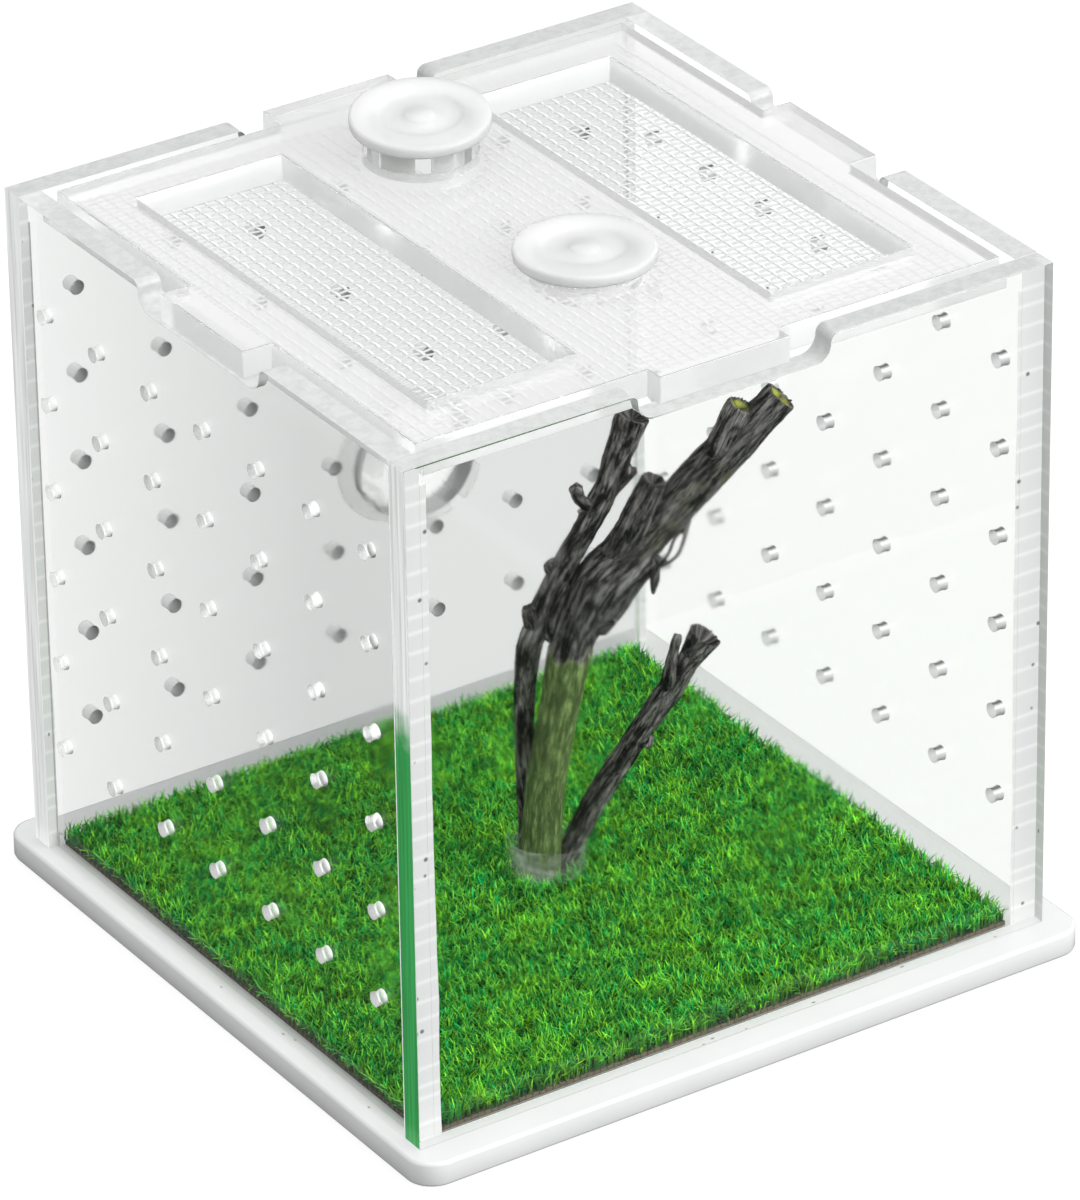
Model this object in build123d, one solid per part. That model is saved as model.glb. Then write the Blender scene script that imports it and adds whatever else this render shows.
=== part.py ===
from build123d import *
from math import cos, radians, sin, sqrt
import os
import random

# A small display box for a jumping spider: five clear acrylic sheets on a base plate, a lift-off
# lid with meshed windows, snap-in port plugs, and a turf mat with a piece of branch inside.
# The origin is the centre of the base's underside. X runs along the front panel, Y to the back.
# All sizes are in millimetres.

# Walls: outer size of the box of sheets
sheet = 4.0
box_width = 112.6
box_depth = 109.3
wall_height = 112.0

# Base plate, with how far its flange stands out past each wall
base_thickness = 4.0
base_corner_radius = 4.5
flange_left = 2.6
flange_right = 4.8
flange_front = 4.9
flange_back = 5.8

# Vent holes drilled in the two sides and the back, the left side's a little to the rear
vent_diameter = 2.4
vent_pitch = 14.8
vent_columns = 7
vent_rows = 6
left_vent_height = 57.1
left_vent_shift = 1.1
right_vent_height = 56.5
back_vent_height = 57.3
vent_web = 0.8

# Notch in the middle of each wall's top edge, which a tab of the lid drops into
notch_depth = 4.2
notch_flat = 27.6
notch_lip_radius = 1.4

# Lid: one plate, with a tab on each side and two windows
lid_thickness = 4.4
lid_clearance = 1.6
tab_width = 22.6
side_tab_setback = 0.6
back_tab_setback = 0.2
front_tab_setback = 2.6
window_width = 25.3
window_length = 79.0
window_spacing = 59.1
window_shift_y = 0.6

# Mesh sheet glued under the lid
mesh_thickness = 0.5
mesh_margin = 1.7
mesh_pitch_x = 4.2
mesh_pitch_y = 3.6
mesh_thread = 0.9
mesh_port_clearance = 0.8

# Ports and their plugs
port_diameter = 17.2
lid_port_x = 1.3
rear_port_y = 29.8
front_port_y = -14.3
wall_port_x = 13.3
wall_port_height = 46.5
plug_head_diameter = 21.5
plug_head_thickness = 2.0
plug_head_round = 0.6
plug_dish_diameter = 11.4
plug_dish_depth = 0.7
plug_dish_slope = 1.2
plug_boss_diameter = 4.2
plug_boss_height = 0.35
neck_clearance = 0.55
neck_wall = 1.3
neck_length = 7.0
barb_height = 0.2
barb_length = 1.6
slot_width = 2.4
slot_root = 1.4
slot_pairs = 3
rear_plug_lift = 4.4
rear_plug_tilt = 5.0
plug_rest_gap = 0.05

# Turf mat: its pile is tufts, each a bundle of blades that narrows and leans its own way
turf_side_gap = 1.2
turf_end_gap = 0.3
turf_backing_thickness = 0.8
pile_slice = 0.4
pile_height = 2.8
pile_unevenness = 0.5
tuft_spacing = 5.1
tuft_gap = 0.3
tuft_tip_width = 3.4
tuft_lean = 8.0
tuft_cup_gap = 0.3

# Branch: its plane turns this far about Z, and its foot stands here from the box's centre
branch_heading = -33.2
branch_x = 1.2
branch_y = -0.2

# Clear cup and band round the foot of the branch
cup_height = 6.6
cup_radius = 6.4
cup_taper = 0.2
cup_wall = 0.4
cup_floor = 0.6
cup_along = -0.2
cup_depth = 1.2
cup_rim_slant = 8.0
band_clearance = 0.12
band_thickness = 0.25
band_height = 1.8
band_tilt = 8.0
band_lift = 2.2

# Stems of the branch. Each point is: distance along the branch's plane, height above the base,
# distance behind the plane, and the stem's radius there.
trunk_stem = [
    (-1.2, 1.8, 0.0, 2.6),
    (-0.5, 14.0, 0.0, 2.4),
    (1.1, 25.0, 0.0, 2.4),
    (2.6, 33.5, 0.0, 2.5),
    (3.9, 41.0, 0.0, 2.8),
    (6.3, 48.0, 0.0, 3.5),
    (9.3, 54.0, 0.0, 3.6),
    (14.6, 59.3, 0.2, 3.2),
    (19.8, 65.0, 0.6, 3.1),
    (24.1, 70.0, 1.0, 3.1),
    (28.3, 74.4, 1.4, 2.9),
    (32.0, 78.4, 1.8, 2.6),
    (35.8, 82.4, 2.2, 2.4),
]
second_limb_stem = [
    (24.8, 70.5, 1.0, 2.0),
    (26.2, 73.6, 0.6, 2.0),
    (27.7, 77.8, 0.2, 1.9),
    (29.8, 82.2, 0.0, 1.8),
]
stub_stem = [
    (10.0, 55.6, 0.0, 2.4),
    (12.9, 61.4, -1.4, 2.2),
    (15.0, 66.8, -2.2, 2.0),
    (16.8, 71.0, -2.6, 1.8),
]
rootlet_stem = [
    (21.8, 64.6, -1.4, 0.6),
    (21.2, 62.0, -2.6, 0.5),
    (19.8, 58.2, -2.8, 0.4),
    (17.8, 55.2, -2.8, 0.5),
    (16.5, 51.8, -2.6, 0.6),
]
left_stem = [
    (-3.0, 1.8, 3.6, 1.15),
    (-3.2, 14.4, 3.4, 1.2),
    (-3.2, 25.0, 3.1, 1.3),
    (-3.0, 33.6, 2.6, 1.4),
    (-2.4, 40.6, 1.6, 1.8),
    (-0.6, 45.4, 1.0, 1.9),
    (1.2, 50.8, 0.6, 1.6),
    (3.9, 56.6, 0.4, 1.6),
    (6.7, 62.4, 0.0, 1.7),
    (9.5, 68.1, 0.0, 1.7),
    (11.5, 74.2, 0.0, 1.9),
    (13.7, 80.7, 0.0, 2.4),
]
hook_stem = [
    (8.8, 66.0, 0.0, 0.9),
    (6.9, 65.8, -0.8, 0.8),
    (5.9, 67.4, -1.4, 0.7),
    (5.2, 69.3, -1.8, 0.6),
]
snag_stem = [
    (10.2, 67.6, 0.0, 0.9),
    (12.4, 70.0, 0.0, 0.7),
    (13.8, 71.5, 0.0, 0.5),
]
right_stem = [
    (2.7, 1.8, 3.5, 1.6),
    (7.0, 12.1, 3.2, 1.6),
    (11.7, 20.3, 2.6, 1.6),
    (15.9, 27.7, 2.2, 1.6),
    (19.2, 33.3, 2.0, 1.7),
    (21.6, 37.5, 2.0, 1.6),
    (23.9, 41.2, 2.0, 2.0),
]
splinter_stem = [
    (18.3, 32.8, 1.6, 0.9),
    (18.8, 36.5, 0.2, 0.8),
    (19.4, 40.0, -0.2, 0.7),
    (20.1, 43.2, -0.4, 0.5),
]

# Sizes that follow from the ones above
base_width = box_width + flange_left + flange_right
base_depth = box_depth + flange_front + flange_back
box_shift_x = (flange_left - flange_right) / 2
box_shift_y = (flange_front - flange_back) / 2
inner_width = box_width - 2 * sheet
inner_depth = box_depth - 2 * sheet
lid_width = inner_width - 2 * lid_clearance
lid_depth = inner_depth - 2 * lid_clearance
lid_floor = wall_height - notch_depth
lid_top = lid_floor + lid_thickness
turf_top = turf_backing_thickness + pile_slice
neck_radius = port_diameter / 2 - neck_clearance


def in_box(x, y, z):
    """A place given from the centre of the box of sheets, with z from the top of the base."""
    return Pos(box_shift_x + x, box_shift_y + y, base_thickness + z)


def write(shape, name):
    export_step(shape, f"parts/{name}.step")


def make_base():
    plate = Box(base_width, base_depth, base_thickness, align=(Align.CENTER, Align.CENTER, Align.MIN))
    return fillet(plate.edges().filter_by(Axis.Z), base_corner_radius)


def notch_outline():
    """Front view of a notch, drawn down from a wall's top edge and closed just above it."""
    flat = notch_flat / 2
    foot_radius = notch_depth - notch_lip_radius
    mouth = flat + foot_radius + notch_lip_radius
    foot = CenterArc((flat, foot_radius - notch_depth), foot_radius, -90, 90)
    lip = CenterArc((mouth, -notch_lip_radius), notch_lip_radius, 90, 90)
    right_end = Curve() + foot + lip
    floor = Line((-flat, -notch_depth), (flat, -notch_depth))
    cap = Polyline((-mouth, 0), (-mouth, sheet), (mouth, sheet), (mouth, 0))
    return make_face(Curve() + floor + right_end + mirror(right_end, Plane.YZ) + cap)


def vent_places(height, shift=0):
    """The vents' grid, centred this high on a wall and this far along it from its middle."""
    grid = GridLocations(vent_pitch, vent_pitch, vent_columns, vent_rows)
    return [Pos(shift, height) * place for place in grid]


def make_wall(length, vents=(), port=None):
    """A sheet standing on the XZ plane: its bottom edge's middle is at the origin."""
    face = Rectangle(length, wall_height, align=(Align.CENTER, Align.MIN))
    face -= Pos(0, wall_height) * notch_outline()
    if port:
        reach = (port_diameter + vent_diameter) / 2 + vent_web
        centre = Vector(*port)
        vents = [place for place in vents if (Vector(*place.position) - centre).length > reach]
        face -= Pos(*port) * Circle(port_diameter / 2)
    if vents:
        face -= [place * Circle(vent_diameter / 2) for place in vents]
    return extrude(Plane.XZ * face, sheet / 2, both=True)


def make_walls():
    side_reach = (box_width - sheet) / 2
    end_reach = (box_depth - sheet) / 2
    left = make_wall(inner_depth, vent_places(left_vent_height, left_vent_shift))
    right = make_wall(inner_depth, vent_places(right_vent_height))
    back = make_wall(box_width, vent_places(back_vent_height), port=(wall_port_x, wall_port_height))
    front = make_wall(box_width)
    write(in_box(-side_reach, 0, 0) * Rot(Z=90) * left, "left_wall")
    write(in_box(side_reach, 0, 0) * Rot(Z=90) * right, "right_wall")
    write(in_box(0, end_reach, 0) * back, "back_wall")
    write(in_box(0, -end_reach, 0) * front, "front_panel")


def window_places():
    return [Pos(side * window_spacing / 2, window_shift_y) for side in (-1, 1)]


def port_places():
    return [Pos(lid_port_x, rear_port_y), Pos(lid_port_x, front_port_y)]


def make_lid():
    side_tabs = box_width - 2 * side_tab_setback
    rear_end = box_depth / 2 - back_tab_setback
    front_end = front_tab_setback - box_depth / 2
    face = Rectangle(lid_width, lid_depth) + Rectangle(side_tabs, tab_width)
    face += Pos(0, (rear_end + front_end) / 2) * Rectangle(tab_width, rear_end - front_end)
    face -= [place * Rectangle(window_width, window_length) for place in window_places()]
    face -= [place * Circle(port_diameter / 2) for place in port_places()]
    return in_box(0, 0, lid_floor) * extrude(face, lid_thickness)


def make_mesh():
    """One sheet under the whole lid, with its gaps drawn where the windows show them."""
    columns = round(window_width / mesh_pitch_x)
    rows = round(window_length / mesh_pitch_y)
    pitch_x = window_width / columns
    pitch_y = window_length / rows
    gap = Rectangle(pitch_x - mesh_thread, pitch_y - mesh_thread)
    gaps = [
        window * place * gap
        for window in window_places()
        for place in GridLocations(pitch_x, pitch_y, columns, rows)
    ]
    face = Rectangle(lid_width - 2 * mesh_margin, lid_depth - 2 * mesh_margin)
    face -= gaps
    face -= [place * Circle(port_diameter / 2 + mesh_port_clearance) for place in port_places()]
    return in_box(0, 0, lid_floor - mesh_thickness) * extrude(face, mesh_thickness)


def make_plug():
    """A snap-in plug on the Z axis, with the underside of its head at the origin."""
    head = plug_head_diameter / 2
    dish = plug_dish_diameter / 2
    boss = plug_boss_diameter / 2
    bore = neck_radius - neck_wall
    dish_floor = plug_head_thickness - plug_dish_depth
    outline = Polyline(
        (0, dish_floor + plug_boss_height),
        (boss, dish_floor + plug_boss_height),
        (boss + plug_boss_height, dish_floor),
        (dish, dish_floor),
        (dish + plug_dish_slope, plug_head_thickness),
        (head, plug_head_thickness),
        (head, 0),
        (neck_radius, 0),
        (neck_radius, barb_length - neck_length),
        (neck_radius + barb_height, barb_length / 2 - neck_length),
        (neck_radius - barb_height, -neck_length),
        (bore, -neck_length),
        (bore, 0),
        (0, 0),
        close=True,
    )
    plug = revolve(Plane.XZ * make_face(outline), Axis.Z)
    rim = plug.edges().filter_by(GeomType.CIRCLE).sort_by(lambda edge: edge.radius)[-2:]
    plug = fillet(rim, plug_head_round)
    slot = Box(plug_head_diameter, slot_width, neck_length, align=(Align.CENTER, Align.CENTER, Align.MAX))
    for step in range(slot_pairs):
        plug -= Pos(0, 0, -slot_root) * Rot(Z=180 * step / slot_pairs) * slot
    return plug


def make_plugs():
    """The front plug is home, the rear one stands out of its port, the third is in the back."""
    plug = make_plug()
    seat = lid_top + plug_rest_gap
    # The rear plug leans on the line from its port's middle to the front left, where it's seen.
    lean_axis = Axis((0, 0, 0), (cos(radians(branch_heading)), sin(radians(branch_heading)), 0))
    middle = -rear_plug_lift - lid_thickness / 2
    leaning = Pos(0, 0, middle) * (Pos(0, 0, -middle) * plug).rotate(lean_axis, rear_plug_tilt)
    write(in_box(lid_port_x, front_port_y, seat) * plug, "front_plug")
    write(in_box(lid_port_x, rear_port_y, lid_top + rear_plug_lift) * leaning, "rear_plug")
    back_face = box_depth / 2 + plug_rest_gap
    write(in_box(wall_port_x, back_face, wall_port_height) * Rot(X=-90) * plug, "wall_plug")


def make_tuft(height, heading):
    """A square bundle of blades on the origin, with its tip leaning the way it is headed."""
    reach = height * sin(radians(tuft_lean))
    tip = Pos(reach * cos(radians(heading)), reach * sin(radians(heading)), height)
    width = tuft_spacing - tuft_gap
    return loft([Rectangle(width, width), tip * Rectangle(tuft_tip_width, tuft_tip_width)], ruled=True)


def make_turf():
    """The tufts leave out a ring where the cup stands on the slice of pile that joins them."""
    width = inner_width - 2 * turf_side_gap
    depth = inner_depth - 2 * turf_end_gap
    columns = int(width / tuft_spacing)
    rows = int(depth / tuft_spacing)
    low = (Align.CENTER, Align.CENTER, Align.MIN)
    backing = in_box(0, 0, 0) * Box(width, depth, turf_backing_thickness, align=low)
    pile = Box(width, depth, pile_slice, align=low)
    cup_place = Vector(*branch_point(cup_along, 0, cup_depth))
    keep_off = cup_radius + tuft_cup_gap + tuft_spacing / sqrt(2)
    luck = random.Random(5)
    tufts = []
    for place in GridLocations(width / columns, depth / rows, columns, rows):
        heading = luck.uniform(0, 360)
        height = pile_height + pile_slice / 2 - luck.uniform(0, pile_unevenness)
        if (place.position - cup_place).length > keep_off:
            tufts.append(Pos(0, 0, pile_slice / 2) * place * make_tuft(height, heading))
    write(backing, "turf_backing")
    write(in_box(0, 0, turf_backing_thickness) * (pile + tufts), "turf_pile")


def branch_point(along, height, behind):
    """A place on the branch, from the box's centre and the top of the base."""
    heading = radians(branch_heading)
    x = branch_x + along * cos(heading) - behind * sin(heading)
    y = branch_y + along * sin(heading) + behind * cos(heading)
    return (x, y, height)


def make_stem(points):
    """A stem through a list of points, round at each, square to its run there."""
    middles = [Vector(*branch_point(*point[:3])) for point in points]
    sideways = Vector(-sin(radians(branch_heading)), cos(radians(branch_heading)), 0)
    rings = []
    for index, point in enumerate(points):
        before = middles[max(index - 1, 0)]
        after = middles[min(index + 1, len(points) - 1)]
        rings.append(Plane(middles[index], x_dir=sideways, z_dir=after - before) * Circle(point[3]))
    return loft(rings, ruled=True)


def foot_cone(low_radius, high_radius, height):
    """A cone on the cup's axis, from the turf up."""
    return Pos(*branch_point(cup_along, turf_top, cup_depth)) * Cone(
        low_radius, high_radius, height, align=(Align.CENTER, Align.CENTER, Align.MIN)
    )


def make_sticks():
    """The forked main branch, the thin stick on its left and the forked stick on its right."""
    main = make_stem(trunk_stem)
    main += [make_stem(stem) for stem in (second_limb_stem, stub_stem, rootlet_stem)]
    left = make_stem(left_stem) + [make_stem(stem) for stem in (hook_stem, snag_stem)]
    right = make_stem(right_stem) + make_stem(splinter_stem)
    foot_level = turf_top + cup_floor
    below = Pos(*branch_point(0, foot_level, 0)) * Box(
        box_width, box_depth, wall_height, align=(Align.CENTER, Align.CENTER, Align.MAX)
    )
    return {"main_branch": main - below, "left_stick": left - below, "right_stick": right - below}


def make_cup():
    outer = foot_cone(cup_radius, cup_radius - cup_taper, cup_height)
    hollow = foot_cone(cup_radius - cup_wall, cup_radius - cup_taper - cup_wall, cup_height)
    cup = outer - Pos(0, 0, cup_floor) * hollow
    rim = Pos(*branch_point(cup_along, turf_top + cup_height, cup_depth))
    above = Box(4 * cup_radius, 4 * cup_radius, cup_height, align=(Align.CENTER, Align.CENTER, Align.MIN))
    return cup - rim * Rot(Z=branch_heading) * Rot(Y=cup_rim_slant) * above


def make_band():
    radius = cup_radius - cup_taper - cup_wall - band_clearance
    ring = Circle(radius) - Circle(radius - band_thickness)
    place = Pos(*branch_point(cup_along, turf_top + cup_floor + band_lift, cup_depth))
    return place * Rot(Z=branch_heading) * Rot(Y=band_tilt) * extrude(ring, band_height)


def make_branch():
    """The leaning right stick passes out through the cup and the band, which are open there."""
    sticks = make_sticks()
    place = in_box(0, 0, 0)
    for name, stick in sticks.items():
        write(place * stick, name)
    write(place * (make_cup() - sticks["right_stick"]), "branch_cup")
    write(place * (make_band() - sticks["right_stick"]), "branch_band")


os.makedirs("parts", exist_ok=True)
write(make_base(), "base_plate")
make_walls()
write(make_lid(), "lid_plate")
write(make_mesh(), "lid_mesh")
make_plugs()
make_turf()
make_branch()
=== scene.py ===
"""The looks of a small acrylic enclosure: sheets, screened lid, port plugs, turf and branch."""
import random
from math import cos, exp, pi, radians, sin, sqrt, tau

import bmesh
import bpy
import numpy as np
from bpy.props import FloatProperty, FloatVectorProperty, IntProperty, PointerProperty
from mathutils import Matrix, Vector, noise


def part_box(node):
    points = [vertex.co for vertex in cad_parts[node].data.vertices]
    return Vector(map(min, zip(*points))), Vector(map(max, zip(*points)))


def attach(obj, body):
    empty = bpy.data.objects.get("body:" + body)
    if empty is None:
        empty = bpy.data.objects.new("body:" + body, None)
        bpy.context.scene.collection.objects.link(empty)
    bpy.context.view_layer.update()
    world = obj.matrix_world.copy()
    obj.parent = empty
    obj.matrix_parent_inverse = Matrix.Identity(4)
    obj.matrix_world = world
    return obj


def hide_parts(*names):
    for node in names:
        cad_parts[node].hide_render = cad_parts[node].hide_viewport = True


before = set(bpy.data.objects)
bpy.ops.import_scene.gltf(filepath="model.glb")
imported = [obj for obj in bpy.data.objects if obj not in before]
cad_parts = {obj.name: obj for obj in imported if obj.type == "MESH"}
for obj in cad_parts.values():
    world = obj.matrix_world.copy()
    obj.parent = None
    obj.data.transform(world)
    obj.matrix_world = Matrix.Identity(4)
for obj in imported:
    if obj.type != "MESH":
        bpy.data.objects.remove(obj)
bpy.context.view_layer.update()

bl_info = {
    "name": "Acrylic enclosure looks",
    "version": (1, 0, 0),
    "blender": (4, 5, 0),
    "location": "View3D > Sidebar > Enclosure",
    "description": "Builds the visible pieces of a small lidded acrylic enclosure round its packed frame",
    "category": "Object",
}

MM = 0.001
ACRYLIC_IOR = 1.49
# Just more than the depth of the notches in the walls, which the lid's tabs rest in
NOTCH_REACH = 4.4 * MM
PORT_RADIUS = 8.6 * MM


def linear(code):
    """The scene colour of an sRGB hex value, such as "F2F4F3"."""
    parts = [int(code[start:start + 2], 16) / 255 for start in (0, 2, 4)]
    return tuple(p / 12.92 if p <= 0.04045 else ((p + 0.055) / 1.055) ** 2.4 for p in parts)


def size_property(name, description, millimetres):
    return FloatProperty(
        name=name, description=description, default=millimetres * MM, unit="LENGTH", precision=5
    )


def number_property(name, description, value, low=0.0):
    return FloatProperty(name=name, description=description, default=value, min=low)


def power_property(name, description, watts):
    return FloatProperty(name=name, description=description, default=watts, subtype="POWER")


def colour_property(name, description, code):
    return FloatVectorProperty(
        name=name, description=description, default=linear(code), size=3, min=0, max=1, subtype="COLOR"
    )


# Sizes and colours that a user would change

class SheetSettings(bpy.types.PropertyGroup):
    edge_round: size_property("Edge round", "Radius left on the sheets' edges by flame polishing", 0.22)
    base_round: size_property("Base edge round", "Radius on the base plate's edges", 0.5)
    joint_gap: size_property("Joint gap", "Air left between two sheets that meet", 0.03)
    near_bead: size_property("Near bead", "Width of the cement bead in the near left corner", 1.3)
    bead: size_property("Bead", "Width of the cement beads in the other corners", 0.5)
    bore_waist: number_property("Bore waist", "Share of a vent's width left half way in", 0.88)
    clear_tint: colour_property("Clear tint", "What white light keeps after one clear sheet", "FDFEFD")
    side_tint: colour_property("Side tint", "What white light keeps after one side sheet", "FAFBFA")
    # Painted shade: the back sheet's grey stands for the shade of the surround behind it.
    back_painted_shade_tint: colour_property("Back tint", "What white light keeps after the grey back sheet", "DADCDB")
    lid_tint: colour_property("Lid tint", "What white light keeps after the lid", "FDFDFD")
    frost: colour_property("Frost", "Sawn and glued faces of the sheets", "F6F7F7")
    # Painted shade: the dark tone of the bores' painted streaks.
    bore: colour_property("Bore", "The dark streaks in the vents' drilled walls", "4A4D4E")
    # Painted glow: the ends' pale colour also shines, standing for light piped through the sheet.
    end: colour_property("End", "Light gathered in the flame-polished ends of the sheets", "F4F6F5")
    # Painted reflection: the turf's green in the ends' lower part.
    end_painted_turf_green: colour_property("End, low", "The turf's green gathered in the ends' lower part", "40A659")
    base: colour_property("Base", "The milky base plate", "F4F5F5")


class ScreenSettings(bpy.types.PropertyGroup):
    pitch_x: size_property("Pitch across", "Spacing of the threads that run front to back", 1.98)
    pitch_y: size_property("Pitch along", "Spacing of the threads that run left to right", 1.41)
    thread_width: size_property("Thread width", "Width of a flattened thread", 0.62)
    thread_thickness: size_property("Thread thickness", "Thickness of a flattened thread", 0.2)
    port_clearance: size_property("Port clearance", "Room between a port and the cut threads", 0.8)
    thread: colour_property("Thread", "Colour of the screen", "F4F5F5")


class PlugSettings(bpy.types.PropertyGroup):
    cloudy: colour_property("Cloudy", "The plugs' plastic", "FBFCFC")
    wall_cover: number_property("Wall plug cover", "How much the wall plug hides", 0.17)


class TurfSettings(bpy.types.PropertyGroup):
    density: number_property("Density", "Blades on a square millimetre", 10.0, low=0.5)
    blade_length: size_property("Blade length", "Longest blade, from the backing up", 3.6)
    blade_width: size_property("Blade width", "Width of a blade at its root", 0.32)
    seed: IntProperty(name="Seed", description="Which mat of the many that could be grown", default=12)
    deep: colour_property("Deep green", "The darker, bluer yarn", "00A04F")
    fresh: colour_property("Fresh green", "The yellower yarn", "90DE34")
    backing: colour_property("Backing", "The woven backing", "6B6048")


class BranchSettings(bpy.types.PropertyGroup):
    voxel: size_property("Voxel", "Grain of the mesh that joins the stems", 0.24)
    relief: size_property("Relief", "How deep the bark's ridges are", 0.36)
    bark_thickness: size_property("Bark thickness", "Bark over a stem's radius", 0.22)
    fullness: size_property("Fullness", "Peeled wood over the trunk's radius", 0.62)
    hollow: size_property("Hollow", "How deep a cut end has weathered in the middle", 0.9)
    bark_dark: colour_property("Bark, dark", "The furrows of the bark", "191918")
    bark_light: colour_property("Bark, light", "The weathered ridges of the bark", "B4B2AE")
    # The bare-wood colours are the wood's olive with a painted green from the turf's light.
    bare_dark_and_painted_green: colour_property("Bare wood, dark", "Damp streaks on the peeled trunk", "4C5F36")
    bare_light_and_painted_green: colour_property("Bare wood, light", "Dry streaks on the peeled trunk", "A6C47A")
    moss: colour_property("Moss", "The green film on the limb", "5B6128")
    film: colour_property("Vinyl film", "The cup and the band round the foot", "F4FAF6")


class StageSettings(bpy.types.PropertyGroup):
    fill: number_property("Fill", "How bright the room lights a surface", 0.84)
    backdrop: number_property("Backdrop", "How bright the surround is to the eye", 1.3)
    sheen: number_property("Sheen", "How bright the room is in reflections", 0.22)
    key_power: power_property("Key", "Power of the front lamp", 19.0)
    top_power: power_property("Top", "Power of the lamp overhead", 3.0)
    floor_lift: number_property("Floor lift", "What the paper adds to its lit tone", 0.84)
    through_lift: number_property("Lift through sheets", "The same, seen through sheets", 1.1)
    floor_size: FloatProperty(name="Floor", description="Side of the floor", default=8.0, unit="LENGTH")
    floor_tone: colour_property("Floor tone", "The floor paper", "808080")


# Materials

def add_node(tree, kind, inputs=None, **settings):
    """Adds one node. Each of its inputs takes a socket that feeds it, a colour or a plain value."""
    node = tree.nodes.new(kind)
    for name, value in settings.items():
        setattr(node, name, value)
    for name, value in (inputs or {}).items():
        socket = node.inputs[name]
        if isinstance(value, bpy.types.NodeSocket):
            tree.links.new(value, socket)
        elif socket.type == "RGBA":
            socket.default_value = (*value, 1)
        else:
            socket.default_value = value
    return node


def new_material(name, colour):
    """An empty material and its tree. The colour is what a plain viewport shows."""
    material = bpy.data.materials.new(name)
    material.use_nodes = True
    material.diffuse_color = (*colour, 1)
    material.node_tree.nodes.clear()
    return material, material.node_tree


def grey(level):
    return (level, level, level)


def object_place(tree):
    return add_node(tree, "ShaderNodeTexCoord").outputs["Object"]


def attribute(tree, name, kind="Vector"):
    return add_node(tree, "ShaderNodeAttribute", attribute_name=name).outputs[kind]


def parts_of(tree, vector):
    return add_node(tree, "ShaderNodeSeparateXYZ", {"Vector": vector}).outputs


def stretch(tree, vector, share):
    """Shrinks a place along Z, which draws the pattern on it out that way."""
    return add_node(tree, "ShaderNodeMapping", {"Vector": vector, "Scale": (1.0, 1.0, share)}).outputs[0]


def calculate(tree, operation, *values):
    return add_node(tree, "ShaderNodeMath", dict(enumerate(values)), operation=operation).outputs[0]


def product(tree, first, *others):
    for other in others:
        first = calculate(tree, "MULTIPLY", first, other)
    return first


def ramp(tree, value, start, end, low=0.0, high=1.0):
    """Maps the range from start to end to the range from low to high, and holds it there."""
    inputs = {"Value": value, "From Min": start, "From Max": end, "To Min": low, "To Max": high}
    return add_node(tree, "ShaderNodeMapRange", inputs).outputs[0]


def blend(tree, share, first, second):
    inputs = {"Factor": share, "A": first, "B": second}
    return add_node(tree, "ShaderNodeMix", inputs, data_type="RGBA").outputs["Result"]


def shade(tree, colour, tone):
    """A colour times a tone."""
    inputs = {"Factor": 1.0, "A": colour, "B": tone}
    node = add_node(tree, "ShaderNodeMix", inputs, data_type="RGBA", blend_type="MULTIPLY")
    return node.outputs["Result"]


def spots_per_metre(millimetres):
    """The scale that gives a noise or cell texture features of this size."""
    return 1 / (millimetres * MM)


def spots(tree, place, millimetres, detail=2.0, roughness=0.5, distortion=0.0):
    """Soft spots of the given size."""
    inputs = {
        "Vector": place, "Scale": spots_per_metre(millimetres), "Detail": detail, "Roughness": roughness,
        "Distortion": distortion,
    }
    return add_node(tree, "ShaderNodeTexNoise", inputs).outputs["Fac"]


def cells(tree, millimetres, randomness, place, feature="F1", dimensions="3D"):
    """Distances in a pattern of cells of the given size."""
    inputs = {"Scale": spots_per_metre(millimetres), "Randomness": randomness, **place}
    kinds = {"voronoi_dimensions": dimensions, "feature": feature}
    return add_node(tree, "ShaderNodeTexVoronoi", inputs, **kinds).outputs["Distance"]


def bumps(tree, height, strength, millimetres):
    inputs = {"Height": height, "Strength": strength, "Distance": millimetres * MM}
    return add_node(tree, "ShaderNodeBump", inputs).outputs[0]


def principled(tree, inputs):
    return add_node(tree, "ShaderNodeBsdfPrincipled", inputs).outputs[0]


def show(tree, shader, passes=None):
    """Ends a material. Where a share of light passes, lamps and bounced light reach what the piece
    shuts in, which real acrylic lets them do."""
    if passes:
        clear = add_node(tree, "ShaderNodeBsdfTransparent", {"Color": passes}).outputs[0]
        path = add_node(tree, "ShaderNodeLightPath")
        for ray in ("Is Diffuse Ray", "Is Shadow Ray"):
            inputs = {"Fac": path.outputs[ray], 1: shader, 2: clear}
            shader = add_node(tree, "ShaderNodeMixShader", inputs).outputs[0]
    add_node(tree, "ShaderNodeOutputMaterial", {"Surface": shader})


def polished_acrylic(name, tint, haze=0.0, shine=0.3, painted_paler_left=False):
    """Cast acrylic sheet, polished: clear, glossy, with wipe marks that only soften it a little. Its
    colour can be painted paler towards its left end, as painted light."""
    material, tree = new_material(name, tint)
    place = object_place(tree)
    colour = tint
    # Painted light: the tint grows paler towards the sheet's left end.
    if painted_paler_left:
        share = ramp(tree, parts_of(tree, place)["X"], -55 * MM, -5 * MM, 0.1, 1.0)
        colour = blend(tree, share, grey(1), tint)
    wipes = spots(tree, place, 22, 3.0, 0.6)
    # The specular tint keeps the pale room from veiling what stands behind the sheet.
    body = principled(tree, {
        "Base Color": colour, "IOR": ACRYLIC_IOR, "Transmission Weight": 1 - haze,
        "Specular Tint": grey(shine), "Roughness": ramp(tree, wipes, 0.4, 0.75, 0.015, 0.06),
    })
    show(tree, body, [sqrt(part) for part in tint])
    return material


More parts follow.
